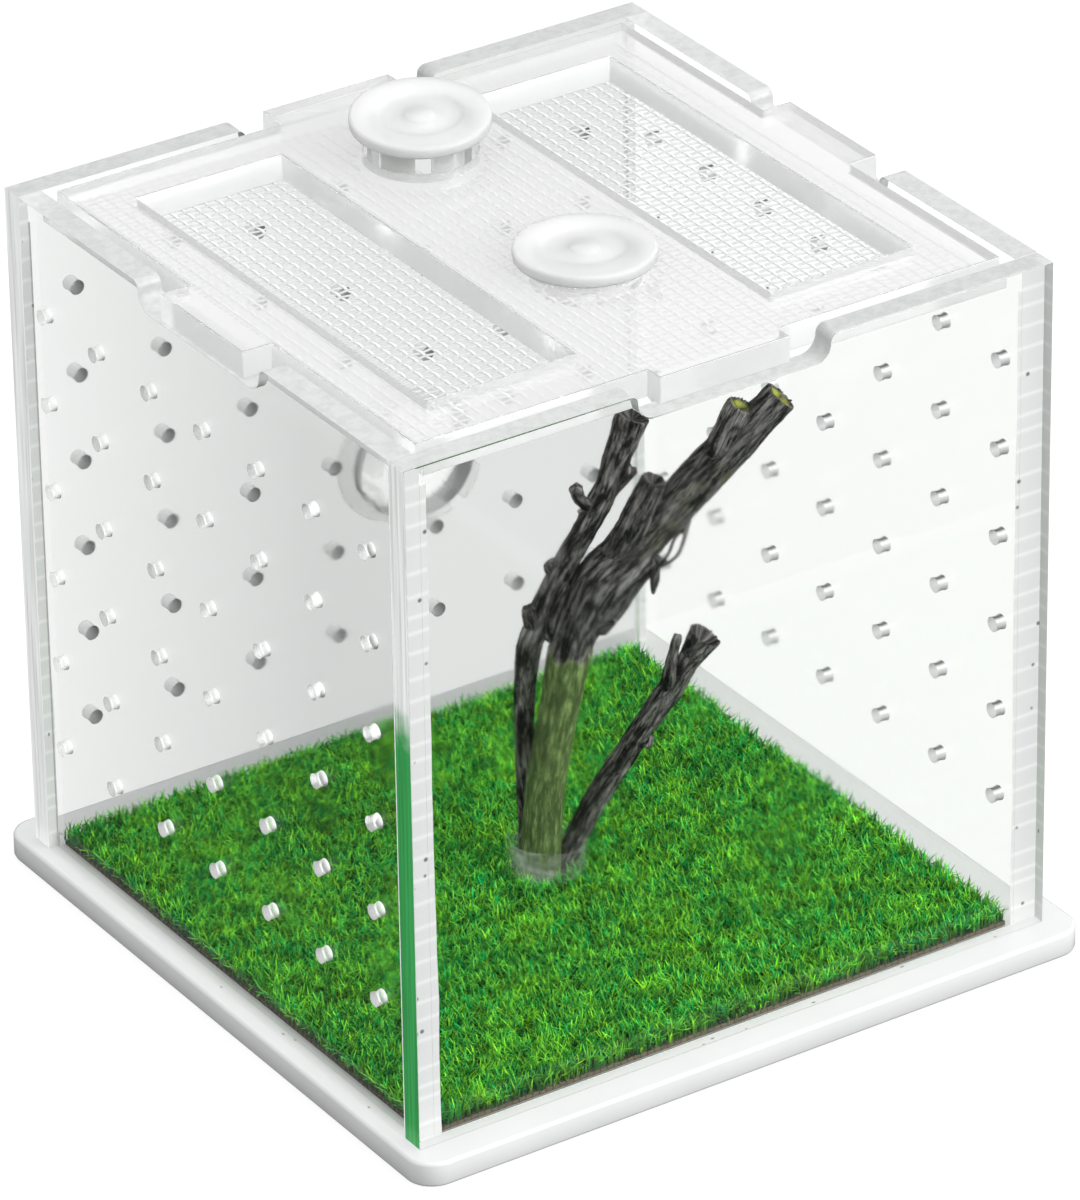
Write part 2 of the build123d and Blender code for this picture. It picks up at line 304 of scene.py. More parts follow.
def sheet_end(name, pale, green, painted_green_top=0.0):
    """A flame-polished end with a painted glow: a pale colour in fine upright lines that also shines,
    standing for light from inside the sheet, and a painted reflection of the turf's green below the given
    height."""
    material, tree = new_material(name, pale)
    place = object_place(tree)
    lines = spots(tree, stretch(tree, place, 0.02), 0.5)
    wander = calculate(tree, "MULTIPLY_ADD", spots(tree, place, 3, 3.0), 6 * MM, parts_of(tree, place)["Z"])
    # Painted reflection: the turf's green below the given height.
    low = ramp(tree, wander, painted_green_top, painted_green_top + 7 * MM, 1.0, 0.0)
    colour = shade(tree, blend(tree, low, pale, green), ramp(tree, lines, 0.35, 0.65, 0.8, 1.12))
    # Painted glow: the end shines with its own colour.
    body = principled(tree, {
        "IOR": ACRYLIC_IOR, "Roughness": 0.2, "Emission Strength": 0.3, "Base Color": colour,
        "Emission Color": colour,
    })
    show(tree, body, grey(0.75))
    return material


def bore_with_painted_shading(name, dark, light):
    """A drilled bore seen through its sheet, with painted light and shade: streaks of light and dark along
    its wall, from the "bore" attribute, which holds how light the wall is painted and how much of it shows."""
    material, tree = new_material(name, light)
    look = parts_of(tree, attribute(tree, "bore"))
    # Painted glint: the wall's lightest painted streaks also shine.
    painted_glint = ramp(tree, look["X"], 0.85, 1.0, 0.0, 0.3)
    body = principled(tree, {
        "Roughness": 0.4, "IOR": ACRYLIC_IOR, "Base Color": blend(tree, look["X"], dark, light),
        "Alpha": look["Y"], "Emission Color": light, "Emission Strength": painted_glint,
    })
    show(tree, body, grey(0.9))
    return material


def frosted_acrylic(name, colour, clearness, mark_size=1.6, contrast=0.12, glow=0.0):
    """Sawn or laser-cut acrylic: a white, light-scattering face with grey saw marks. With a glow, it also
    shines with its own colour, a painted glow that stands for light the sheet has gathered."""
    material, tree = new_material(name, colour)
    marks = spots(tree, object_place(tree), mark_size, 2.0, 0.7)
    colour = shade(tree, colour, ramp(tree, marks, 0.35, 0.6, 1 - contrast, 1.0))
    # Painted glow: the face's colour shines at the strength of glow.
    body = principled(tree, {
        "IOR": ACRYLIC_IOR, "Transmission Weight": clearness, "Roughness": 0.35, "Emission Strength": glow,
        "Base Color": colour, "Emission Color": colour, "Normal": bumps(tree, marks, 0.25, 0.1),
    })
    show(tree, body, grey(0.92))
    return material


def weld_joint(name, colour):
    """Solvent-welded acrylic joint: white, crossed by level flow lines, with a few dark specks, and a faint
    painted glow.
    """
    material, tree = new_material(name, colour)
    place = object_place(tree)
    flows = cells(tree, 3.4, 0.9, {"W": parts_of(tree, place)["Z"]}, "DISTANCE_TO_EDGE", "1D")
    specks = cells(tree, 4.5, 1.0, {"Vector": place})
    tone = product(tree, ramp(tree, flows, 0.0, 0.16, 1.0, 0.87), ramp(tree, specks, 0.05, 0.1, 0.25, 1.0))
    colour = shade(tree, colour, tone)
    # Painted glow: the joint shines faintly with its own colour.
    body = principled(tree, {
        "IOR": ACRYLIC_IOR, "Roughness": 0.4, "Emission Strength": 0.1, "Base Color": colour,
        "Emission Color": colour,
    })
    show(tree, body, grey(0.85))
    return material


def milky_acrylic(name, colour):
    """Cast opal acrylic: milk white with a polished skin, faintly clouded inside."""
    material, tree = new_material(name, colour)
    clouds = spots(tree, object_place(tree), 18, 4.0)
    colour = shade(tree, colour, ramp(tree, clouds, 0.3, 0.7, 0.95, 1.0))
    show(tree, principled(tree, {"IOR": ACRYLIC_IOR, "Roughness": 0.25, "Base Color": colour}))
    return material


def nylon_screen(name, colour):
    """Woven nylon monofilament: matt white threads, here and there a touch darker."""
    material, tree = new_material(name, colour)
    fibres = spots(tree, object_place(tree), 0.9)
    colour = shade(tree, colour, ramp(tree, fibres, 0.3, 0.7, 0.9, 1.0))
    body = principled(tree, {"Roughness": 0.5, "IOR": 1.53, "Base Color": colour})
    show(tree, body, grey(0.8))
    return material


def moulded_polyethylene(name, colour, cover=1.0):
    """Low-density polyethylene, moulded in a satin tool: waxy, cloudy white, light soaks in. With a
    lower cover, the thin clear kind."""
    material, tree = new_material(name, colour)
    satin = spots(tree, object_place(tree), 0.5)
    body = principled(tree, {
        "Base Color": colour, "Roughness": 0.42, "IOR": 1.51, "Transmission Weight": 0.32,
        "Subsurface Weight": 0.6, "Subsurface Radius": (1.0, 1.0, 1.0), "Subsurface Scale": 3.0 * MM,
        "Alpha": cover, "Normal": bumps(tree, satin, 0.12, 0.04),
    })
    show(tree, body, grey(0.85))
    return material


def turf_yarn(name, deep, fresh):
    """Fibrillated polyethylene turf yarn: mixed greens in patches, some strands bright and some dull, with
    painted shade towards the root. The "blade" attribute holds a strand's hue, the height on it and its
    brightness."""
    material, tree = new_material(name, deep)
    place = object_place(tree)
    blade = parts_of(tree, attribute(tree, "blade"))
    mood = calculate(tree, "ADD", spots(tree, place, 9, 3.0, 0.6), blade["X"])
    green = blend(tree, ramp(tree, mood, 0.6, 1.5), deep, fresh)
    # Painted shade: darker towards a blade's root, where the blades shade one another.
    root = ramp(tree, blade["Y"], 0.1, 0.85, 0.22, 1.0)
    clump = ramp(tree, spots(tree, place, 2.6, 2.0, 0.6), 0.35, 0.65, 0.6, 1.3)
    strand = ramp(tree, blade["Z"], 0.0, 1.0, 0.55, 1.9)
    colour = shade(tree, green, product(tree, root, clump, strand))
    show(tree, principled(tree, {
        "Roughness": 0.6, "IOR": 1.5, "Specular IOR Level": 0.1, "Base Color": colour,
    }))
    return material


def woven_backing(name, colour):
    """Latex-dipped woven backing: dull brown, with the square pattern of its slit-film weave."""
    material, tree = new_material(name, colour)
    weave = add_node(tree, "ShaderNodeTexBrick", {
        "Vector": object_place(tree), "Scale": spots_per_metre(1.0), "Mortar Size": 0.12,
        "Brick Width": 1.2, "Row Height": 0.6, "Color1": colour, "Color2": [part * 0.7 for part in colour],
        "Mortar": [part * 0.3 for part in colour],
    })
    show(tree, principled(tree, {"Roughness": 0.85, "Base Color": weave.outputs["Color"]}))
    return material


def weathered_bark(name, settings):
    """Dead twig: dark furrowed bark, a peeled olive trunk with a painted green from the turf's light, moss,
    and sawn ends in olive. The "zones" attribute says where wood is peeled, mossy or sawn, and "grain" is
    the place along the stem."""
    material, tree = new_material(name, settings.bark_dark)
    grain = attribute(tree, "grain")
    zones = add_node(tree, "ShaderNodeSeparateColor", {"Color": attribute(tree, "zones", "Color")}).outputs
    drawn_out = stretch(tree, grain, 0.16)
    fissures = spots(tree, drawn_out, 0.8, 8.0, 0.75)
    crest = ramp(tree, fissures, 0.44, 0.64)
    plates = cells(tree, 1.3, 1.0, {"Vector": drawn_out}, "DISTANCE_TO_EDGE")
    crack = ramp(tree, plates, 0.0, 0.12, 0.25, 1.0)
    region = ramp(tree, spots(tree, grain, 5), 0.35, 0.65, 0.45, 1.1)
    ridge = product(tree, crest, crack, region)
    bark = blend(tree, ridge, settings.bark_dark, settings.bark_light)
    # The peeled wood's colours hold a painted green from the turf's light.
    bare = blend(tree, ridge, settings.bare_dark_and_painted_green, settings.bare_light_and_painted_green)
    patchy = ramp(tree, spots(tree, grain, 2.5, 4.0), 0.42, 0.56)
    peeled = blend(tree, zones["Red"], bark, bare)
    mossy = blend(tree, product(tree, zones["Green"], patchy, ridge), peeled, settings.moss)
    sawn = blend(tree, patchy, linear("5A5C3A"), linear("B4BC4E"))
    body = principled(tree, {
        "Roughness": 0.8, "Specular IOR Level": 0.25, "Base Color": blend(tree, zones["Blue"], mossy, sawn),
        "Normal": bumps(tree, fissures, 0.9, 0.25),
    })
    show(tree, body)
    return material


def soft_vinyl(name, colour):
    """Clear soft vinyl film, creased: mostly seen through, with pale streaks along the creases."""
    material, tree = new_material(name, colour)
    creases = spots(tree, object_place(tree), 3, 4.0, distortion=1.2)
    cover = ramp(tree, creases, 0.4, 0.65, 0.02, 0.16)
    show(tree, principled(tree, {"Base Color": colour, "Roughness": 0.3, "IOR": 1.5, "Alpha": cover}))
    return material


# Modelling helpers

def only(kind, geometry):
    """The vertices, edges or faces among what a bmesh operator made."""
    return [item for item in geometry if isinstance(item, kind)]


def shade_smooth(bm):
    for face in bm.faces:
        face.smooth = True


def mesh_of(bm, name):
    """A new mesh with all that is in a bmesh, which is freed."""
    mesh = bpy.data.meshes.new(name)
    bm.to_mesh(mesh)
    bm.free()
    return mesh


def add_object(name, data):
    made = bpy.data.objects.new(name, data)
    bpy.context.scene.collection.objects.link(made)
    return made


def merged_copy(node, flat=0.5):
    """A CAD node's mesh as a closed bmesh, its loose triangles merged into flat faces where they
    turn by less than the given degrees."""
    bm = bmesh.new()
    bm.from_mesh(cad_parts[node].data)
    bmesh.ops.remove_doubles(bm, verts=bm.verts, dist=0.001 * MM)
    bmesh.ops.dissolve_limit(bm, angle_limit=radians(flat), verts=bm.verts, edges=bm.edges)
    if any(not edge.is_manifold for edge in bm.edges):
        raise RuntimeError(f"the copy of {node} isn't closed")
    return bm


def draw_in(bm, axis, gap, ends):
    """Moves the faces at the low and high ends of an axis inwards, so that no two sheets' faces
    coincide."""
    reach = [vert.co[axis] for vert in bm.verts]
    low, high = min(reach), max(reach)
    near = 0.01 * MM
    for vert in bm.verts:
        if "low" in ends and vert.co[axis] < low + near:
            vert.co[axis] += gap
        if "high" in ends and vert.co[axis] > high - near:
            vert.co[axis] -= gap


def round_edges(bm, radius):
    """Rounds every sharp edge a little and shades the rounds smooth."""
    sharp = [edge for edge in bm.edges if edge.calc_face_angle() > radians(40)]
    rounds = bmesh.ops.bevel(
        bm, geom=sharp, offset=radius, offset_type="OFFSET", affect="EDGES", segments=2, profile=0.5,
        clamp_overlap=True, material=-1,
    )
    for face in rounds["faces"]:
        face.smooth = True


def finish_piece(bm, name, body, materials, stands_for=()):
    """Turns a bmesh into a piece of the enclosure that rides on a body of the frame."""
    mesh = mesh_of(bm, name)
    for material in materials:
        mesh.materials.append(material)
    piece = add_object(name, mesh)
    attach(piece, body)
    if stands_for:
        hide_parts(*stands_for)
    return piece


# Sheets

# A wall's materials in order: polished faces, ends, sawn top with the notch, bores, glued foot
FACE, END, TOP, BORE, GLUED = range(5)
# A face whose middle is nearer than this to a wall's end or foot belongs to that end or foot
CLOSE = 0.1 * MM
# The direction of the camera in a side wall's own plane: its share forwards and its share up
FORWARDS, UPWARDS = 0.835, 0.55


def sort_wall_faces(bm, across, box):
    """Gives each of a wall's faces its material and shades the bores smooth."""
    along = 1 - across
    low, high = box
    below_notch = high.z - NOTCH_REACH
    for face in bm.faces:
        centre = face.calc_center_median()
        at_end = min(centre[along] - low[along], high[along] - centre[along]) < CLOSE
        if abs(face.normal[across]) > 0.9:
            face.material_index = FACE
        elif centre.z < low.z + CLOSE:
            face.material_index = GLUED
        elif at_end:
            face.material_index = END if centre[along] < 0 or across == 0 else GLUED
        elif centre.z > below_notch:
            face.material_index = TOP
        else:
            face.material_index = BORE
            face.smooth = True


def hump(value, middle, width):
    """1 in the middle and less on both sides of it."""
    return exp(-((value - middle) / width) ** 2)


def painted_bore_shading(node, towards, rise, depth):
    """Painted light and shade on a bore's wall: how light the wall is painted at a point, and how
    much of it shows. "towards" is how far the point faces the front left, "rise" how high it lies on
    the side seen, and "depth" how far in it lies, from 0 at the sheet's inner face to 1 at its outer face."""
    # Back wall: the side that faces away from the front left is painted dark as shade, the rest a light
    # painted tone.
    if node == "back_wall":
        if towards < 0.1:
            return 0.25 + 0.5 * depth, 1.0 if depth < 0.7 else 0.0
        return 0.84, 0.55
    # Left wall: the inner half painted light with a painted dark streak low down, the outer half light and
    # fading.
    if node == "left_wall":
        if depth < 0.5:
            return 1 - 0.7 * hump(rise, -0.95, 0.25), 1.0
        return 0.97, 0.6 - 0.4 * depth
    # Right wall: painted dark and light streaks and a painted dark foot on the side seen.
    if towards < 0:
        return 0.78, 0.8
    painted_dark_streak = 0.72 * hump(rise, 0.75, 0.22)
    painted_light_streak = 0.28 * hump(rise, 0.2, 0.3)
    painted_dark_foot = 0.3 * hump(rise, -1, 0.3)
    return 0.72 - painted_dark_streak + painted_light_streak - painted_dark_foot, 0.95


def waist_bores(bm, node, across, waist):
    """Draws each bore in half way through, as a drill leaves it, and notes its painted light and shade for
    its material.
    """
    along = 1 - across
    look = bm.verts.layers.float_vector.new("bore")
    left = {face for face in bm.faces if face.material_index == BORE}
    low, high = (box[across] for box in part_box(node))

    def note_painted_shading(vert, centre):
        arm = vert.co - centre
        arm[across] = 0
        arm.normalize()
        # The back wall is seen from its left, and a side wall from its front.
        if across == 0:
            lean = -arm[along]
            rise = FORWARDS * arm.z - UPWARDS * lean
        else:
            lean = -0.8 * arm[along]
            rise = 0.7 * arm.z + 0.7 * lean
        towards = FORWARDS * lean + UPWARDS * arm.z
        share = (vert.co[across] - low) / (high - low)
        depth = share if centre[across] > 0 else 1 - share
        vert[look] = (*painted_bore_shading(node, towards, rise, depth), 0)

    runs = set()
    centres = []
    while left:
        ring = [left.pop()]
        for face in ring:
            near = {other for edge in face.edges for other in edge.link_faces if other in left}
            left -= near
            ring += near
        edges = {edge for face in ring for edge in face.edges}
        through = {edge for edge in edges if abs((edge.verts[0].co - edge.verts[1].co)[across]) > 1 * MM}
        rims = {vert for edge in through for vert in edge.verts}
        centre = sum((vert.co for vert in rims), Vector()) / len(rims)
        for vert in rims:
            note_painted_shading(vert, centre)
        centres.append(centre)
        runs |= through
    made = bmesh.ops.subdivide_edges(bm, edges=list(runs), cuts=1)["geom_inner"]
    for vert in only(bmesh.types.BMVert, made):
        centre = min(centres, key=lambda point: (point - vert.co).length)
        note_painted_shading(vert, centre)
        for axis in (along, 2):
            vert.co[axis] = centre[axis] + (vert.co[axis] - centre[axis]) * waist


def build_walls(settings):
    clear = polished_acrylic("Polished cast acrylic", settings.clear_tint)
    side = polished_acrylic("Polished cast acrylic, side", settings.side_tint)
    # The back sheet gets painted grey shade, painted paler towards its left end.
    back_painted_shade = polished_acrylic("Cast acrylic, back, painted grey shade", settings.back_painted_shade_tint, painted_paler_left=True)
    sawn = frosted_acrylic("Sawn acrylic edge", settings.frost, 0.35)
    drilled = bore_with_painted_shading("Drilled acrylic bore, painted light and shade", settings.bore, settings.frost)
    weld = weld_joint("Solvent-welded acrylic joint", settings.frost)
    # The sheets' ends shine with a painted glow; the front panel's end also has a painted reflection of the
    # turf's green.
    ends = (settings.end, settings.end_painted_turf_green)
    painted_glow_end = sheet_end("Flame-polished acrylic end", *ends)
    painted_turf_green_end = sheet_end("Flame-polished acrylic end, painted turf green", *ends, 74 * MM)
    walls = {
        "left_wall": (0, side, weld),
        "right_wall": (0, side, weld),
        "back_wall": (1, back_painted_shade, painted_glow_end),
        "front_panel": (1, clear, painted_turf_green_end),
    }
    for node, (across, face, end_finish) in walls.items():
        bm = merged_copy(node)
        sort_wall_faces(bm, across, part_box(node))
        draw_in(bm, 2, settings.joint_gap, ("low",))
        if across == 0:
            draw_in(bm, 1, settings.joint_gap, ("low", "high"))
        waist_bores(bm, node, across, settings.bore_waist)
        round_edges(bm, settings.edge_round)
        finishes = (face, end_finish, sawn, drilled, weld)
        finish_piece(bm, f"{node}_sheet", "enclosure", finishes, [node])
    build_beads(settings, weld)


def build_beads(settings, weld):
    """The cement beads in the four upright corners inside. Each is a fillet with a hollow, slightly
    uneven face."""
    levels = 24
    wander = 0.12 * MM
    left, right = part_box("left_wall")[1].x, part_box("right_wall")[0].x
    front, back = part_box("front_panel")[1].y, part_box("back_wall")[0].y
    low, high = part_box("left_wall")
    gap = settings.joint_gap
    step = (high.z - NOTCH_REACH - low.z - gap) / levels
    bm = bmesh.new()
    for x, y, x_inward, y_inward in (
        (left, front, 1, 1), (right, front, -1, 1), (left, back, 1, -1), (right, back, -1, -1)
    ):
        width = settings.near_bead if (x, y) == (left, front) else settings.bead
        hollow = width * 0.45
        loop = [
            bm.verts.new((x + across * x_inward, y + along * y_inward, low.z + gap))
            for across, along in ((gap, gap), (width, gap), (hollow, hollow), (gap, width))
        ]
        top_face = [bm.faces.new(loop)]
        luck = random.Random(7)
        for _ in range(levels):
            made = bmesh.ops.extrude_face_region(bm, geom=top_face)["geom"]
            verts = only(bmesh.types.BMVert, made)
            bmesh.ops.translate(bm, vec=(0, 0, step), verts=verts)
            for vert in verts:
                far = abs(vert.co.x - x) > width * 0.6
                vert.co.x += luck.uniform(-wander, wander) * far
            top_face = only(bmesh.types.BMFace, made)
    bmesh.ops.recalc_face_normals(bm, faces=bm.faces)
    finish_piece(bm, "corner_beads", "enclosure", (weld,))


def build_base(settings):
    bm = merged_copy("base_plate")
    for face in bm.faces:
        face.smooth = abs(face.normal.z) < 0.5
    round_edges(bm, settings.base_round)
    opal = milky_acrylic("Cast opal acrylic", settings.base)
    finish_piece(bm, "base_slab", "enclosure", (opal,), ["base_plate"])


def build_lid(settings):
    bm = merged_copy("lid_plate")
    for face in bm.faces:
        upright = abs(face.normal.z) < 0.5
        straight = max(abs(face.normal.x), abs(face.normal.y)) > 0.999
        face.material_index = 1 if upright else 0
        face.smooth = upright and not straight
    draw_in(bm, 2, settings.joint_gap, ("low",))
    round_edges(bm, settings.edge_round)
    plate = polished_acrylic("Polished cast acrylic, lid", settings.lid_tint, haze=0.28, shine=0.6)
    # The lid's cut edge shines with a painted glow.
    edge = frosted_acrylic("Laser-cut acrylic edge", settings.frost, 0.6, 2.2, contrast=0.05, glow=0.2)
    finish_piece(bm, "lid_sheet", "lid", (plate, edge), ["lid_plate"])


# Screen

def lay_thread(bm, settings, length, crossings, phase):
    """One flattened thread along X from the origin, which rises over one crossing and dives under
    the next."""
    wave = settings.thread_thickness * 0.55
    step = length / (2 * crossings)
    ring = bmesh.ops.create_circle(bm, cap_ends=True, segments=6, radius=0.5)["verts"]
    flat = Matrix.Diagonal((settings.thread_thickness, settings.thread_width, 1, 1))
    bmesh.ops.transform(bm, matrix=Matrix.Rotation(radians(90), 4, "Y") @ flat, verts=ring)
    front = list(bm.faces)
    for count in range(1, 2 * crossings + 1):
        made = bmesh.ops.extrude_face_region(bm, geom=front)["geom"]
        rise = wave * (sin(pi * (count / 2 + phase)) - sin(pi * ((count - 1) / 2 + phase)))
        bmesh.ops.translate(bm, vec=(step, 0, rise), verts=only(bmesh.types.BMVert, made))
        front = only(bmesh.types.BMFace, made)


def build_screen(settings):
    low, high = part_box("lid_mesh")
    width, depth = high.x - low.x, high.y - low.y
    columns = round(width / settings.pitch_x)
    rows = round(depth / settings.pitch_y)
    level = (low.z + high.z) / 2 - 0.02 * MM
    bm = bmesh.new()
    runs = (
        (width, columns, rows, depth / rows, Matrix.Identity(4)),
        (depth, rows, columns, width / columns, Matrix.Rotation(radians(90), 4, "Z")),
    )
    for turned, (length, crossings, count, pitch, turn) in enumerate(runs):
        for parity in (0, 1):
            part = bmesh.new()
            lay_thread(part, settings, length, crossings, parity + turned)
            sample = mesh_of(part, "thread")
            for index in range(parity, count, 2):
                start = len(bm.verts)
                bm.from_mesh(sample)
                bm.verts.ensure_lookup_table()
                offset = (index + 0.5) * pitch
                place = (low.x + offset, low.y, level) if turned else (low.x, low.y + offset, level)
                bmesh.ops.transform(bm, matrix=Matrix.Translation(place) @ turn, verts=bm.verts[start:])
            bpy.data.meshes.remove(sample)
    ports = [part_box(node) for node in ("front_plug", "rear_plug")]
    centres = [((box[0] + box[1]) / 2).xy for box in ports]
    reach = PORT_RADIUS + settings.port_clearance
    inside = [v for v in bm.verts if min((v.co.xy - centre).length for centre in centres) < reach]
    bmesh.ops.delete(bm, geom=inside, context="VERTS")
    bmesh.ops.holes_fill(bm, edges=[edge for edge in bm.edges if edge.is_boundary], sides=8)
    shade_smooth(bm)
    thread = nylon_screen("Woven nylon monofilament", settings.thread)
    finish_piece(bm, "lid_screen", "lid", (thread,), ["lid_mesh"])


# Plugs

def build_plugs(settings):
    cloudy = moulded_polyethylene("Moulded polyethylene", settings.cloudy)
    clear = moulded_polyethylene("Moulded polyethylene, clear", settings.cloudy, settings.wall_cover)
    for node, plastic in (("front_plug", cloudy), ("rear_plug", cloudy), ("wall_plug", clear)):
        bm = merged_copy(node, flat=0.01)
        for face in bm.faces:
            face.smooth = abs(face.normal.z) < 0.999
        piece = finish_piece(bm, f"{node}_moulding", node, (plastic,), [node])
        piece.data.set_sharp_from_angle(angle=radians(35))


# Turf

def blade_points(luck, settings, x, y):
    """Where one blade's two edges run: pairs of points at its root, its bend and its tip."""
    heading = luck.uniform(0, tau)
    lean = Vector((cos(heading), sin(heading), 0))
    across = Vector((-sin(heading), cos(heading), 0))
    half_length = settings.blade_length * luck.uniform(0.62, 0.95) * 0.5
    first = radians(luck.uniform(2, 24))
    second = first + radians(luck.uniform(10, 75))
    root = Vector((x, y, 0))
    bend = root + lean * (half_length * sin(first)) + Vector((0, 0, half_length * cos(first)))
    tip = bend + lean * (half_length * sin(second)) + Vector((0, 0, half_length * cos(second)))
    half = settings.blade_width / 2 * luck.uniform(0.8, 1.2)
    widths = ((root, 1.0), (bend, 0.8), (tip, 0.15))
    return [(centre - across * half * part, centre + across * half * part) for centre, part in widths]


def grow_patch(luck, settings, box, level, keep_off):
    """A patch of blades: each is a root edge that is pulled up twice into a bent, narrowing ribbon."""
    (x_low, x_high), (y_low, y_high) = box
    cup_middle, cup_reach = keep_off
    count = int((x_high - x_low) * (y_high - y_low) / MM**2 * settings.density)
    bm = bmesh.new()
    blade_layer = bm.verts.layers.float_vector.new("blade")
    number_layer = bm.verts.layers.int.new("number")
    side_layer = bm.verts.layers.int.new("side")
    routes = []
    for _ in range(count):
        x = luck.uniform(x_low, x_high)
        y = luck.uniform(y_low, y_high)
        route = blade_points(luck, settings, x, y)
        hue = luck.random()
        bright = luck.random()
        if (Vector((x, y)) - cup_middle).length < cup_reach:
            continue
        pair = []
        for side in (0, 1):
            vert = bm.verts.new(route[0][side])
            vert[number_layer] = len(routes)
            vert[side_layer] = side
            vert[blade_layer] = (hue, 0, bright)
            pair.append(vert)
        bm.edges.new(pair)
        routes.append(route)
    edges = list(bm.edges)
    for stage in (1, 2):
        made = bmesh.ops.extrude_edge_only(bm, edges=edges)["geom"]
        edges = only(bmesh.types.BMEdge, made)
        for vert in only(bmesh.types.BMVert, made):
            vert.co = routes[vert[number_layer]][stage][vert[side_layer]]
            vert[blade_layer] = (vert[blade_layer].x, stage / 2, vert[blade_layer].z)
    bmesh.ops.translate(bm, vec=(0, 0, level), verts=bm.verts)
    for layer in ("number", "side"):
        bm.verts.layers.int.remove(bm.verts.layers.int[layer])
    shade_smooth(bm)
    return bm


def build_turf(settings):
    """The backing and four patches of blades, which leave room for the cup at the branch's foot."""
    bm = merged_copy("turf_backing")
    draw_in(bm, 2, 0.03 * MM, ("low",))
    round_edges(bm, 0.2 * MM)
    backing = woven_backing("Latex-dipped woven backing", settings.backing)
    finish_piece(bm, "turf_mat_backing", "enclosure", (backing,), ["turf_backing"])
    low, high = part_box("turf_pile")
    middle = (low + high) / 2
    cup_low, cup_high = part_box("branch_cup")
    under_rim = 2.2 * MM
    keep_off = (((cup_low + cup_high) / 2).xy, (cup_high.x - cup_low.x) / 2 - under_rim)
    yarn = turf_yarn("Fibrillated polyethylene turf yarn", settings.deep, settings.fresh)
    luck = random.Random(settings.seed)
    halves_x = (("left", (low.x, middle.x)), ("right", (middle.x, high.x)))
    halves_y = (("front", (low.y, middle.y)), ("rear", (middle.y, high.y)))
    for side, x_range in halves_x:
        for end, y_range in halves_y:
            bm = grow_patch(luck, settings, (x_range, y_range), low.z, keep_off)
            stands_for = ["turf_pile"] if (side, end) == ("left", "front") else ()
            finish_piece(bm, f"turf_pile_{end}_{side}", "enclosure", (yarn,), stands_for)


# Branch

# The branch's own plane: which way it runs, and where its foot stands
HEADING = radians(-33.2)
FOOT = Vector((0.1, -0.65, 4.0)) * MM

